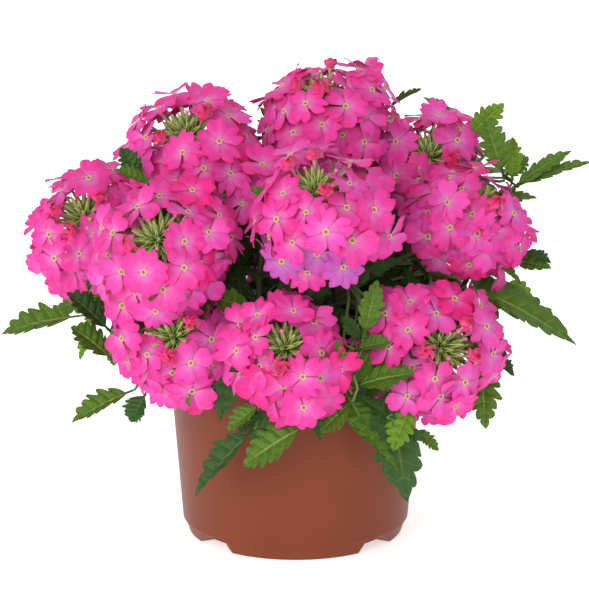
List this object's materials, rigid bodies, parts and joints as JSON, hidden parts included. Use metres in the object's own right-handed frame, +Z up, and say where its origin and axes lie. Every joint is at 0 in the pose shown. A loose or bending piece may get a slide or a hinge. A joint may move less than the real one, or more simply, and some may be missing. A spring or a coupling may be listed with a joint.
{
  "type": "potted verbena",
  "caption": "Bushy verbena with domed heads of hot-pink florets and toothed leaves, growing in a round plastic nursery pot.",
  "frame": {"origin": "middle of the pot's flat underside, on the surface it stands on", "axes": "+Z up, the front that the picture shows faces -Y, +X to the right of the picture"},
  "size_m": [0.272, 0.2112, 0.2191],
  "materials": {
    "pot_plastic": "satin terracotta-brown moulded plastic",
    "compost": "moist dark potting compost",
    "green_stem": "fine-haired green stem",
    "foliage": "matt toothed leaves",
    "blossom": "soft pink petals"
  },
  "bodies": {
    "root": {"bloom_back": "blossom", "bloom_back_left": "blossom", "bloom_back_right": "blossom", "bloom_far_left": "blossom", "bloom_front": "blossom", "bloom_inner": "blossom", "bloom_left": "blossom", "bloom_low_back_left": "blossom", "bloom_low_back_right": "blossom", "bloom_low_front": "blossom", "bloom_low_left": "blossom", "bloom_low_right": "blossom", "bloom_right": "blossom", "bloom_top": "blossom", "bloom_top_back": "blossom", "bloom_upper_left": "blossom", "bloom_upper_right": "blossom", "pot": "pot_plastic", "shoot_back_left": "foliage", "shoot_back_middle": "foliage", "shoot_back_right": "foliage", "shoot_back_top": "foliage", "shoot_inner_front": "foliage", "shoot_left": "foliage", "shoot_low_left": "foliage", "shoot_low_right": "foliage", "shoot_pot_back": "foliage", "shoot_pot_back_right": "foliage", "shoot_pot_left": "foliage", "shoot_pot_middle": "foliage", "shoot_pot_right": "foliage", "shoot_right": "foliage", "shoot_right_middle": "foliage", "shoot_top_right": "foliage", "shoot_under_right": "foliage", "shoot_upper_left": "foliage", "shoot_upper_right": "foliage", "soil": "compost", "stem_back": "green_stem", "stem_back_left": "green_stem", "stem_back_right": "green_stem", "stem_base": "green_stem", "stem_far_left": "green_stem", "stem_front": "green_stem", "stem_inner": "green_stem", "stem_left": "green_stem", "stem_low_back_left": "green_stem", "stem_low_back_right": "green_stem", "stem_low_front": "green_stem", "stem_low_left": "green_stem", "stem_low_right": "green_stem", "stem_of_pot_left": "green_stem", "stem_of_pot_middle": "green_stem", "stem_of_pot_right": "green_stem", "stem_right": "green_stem", "stem_top": "green_stem", "stem_top_back": "green_stem", "stem_upper_left": "green_stem", "stem_upper_right": "green_stem"}
  },
  "joints": []
}
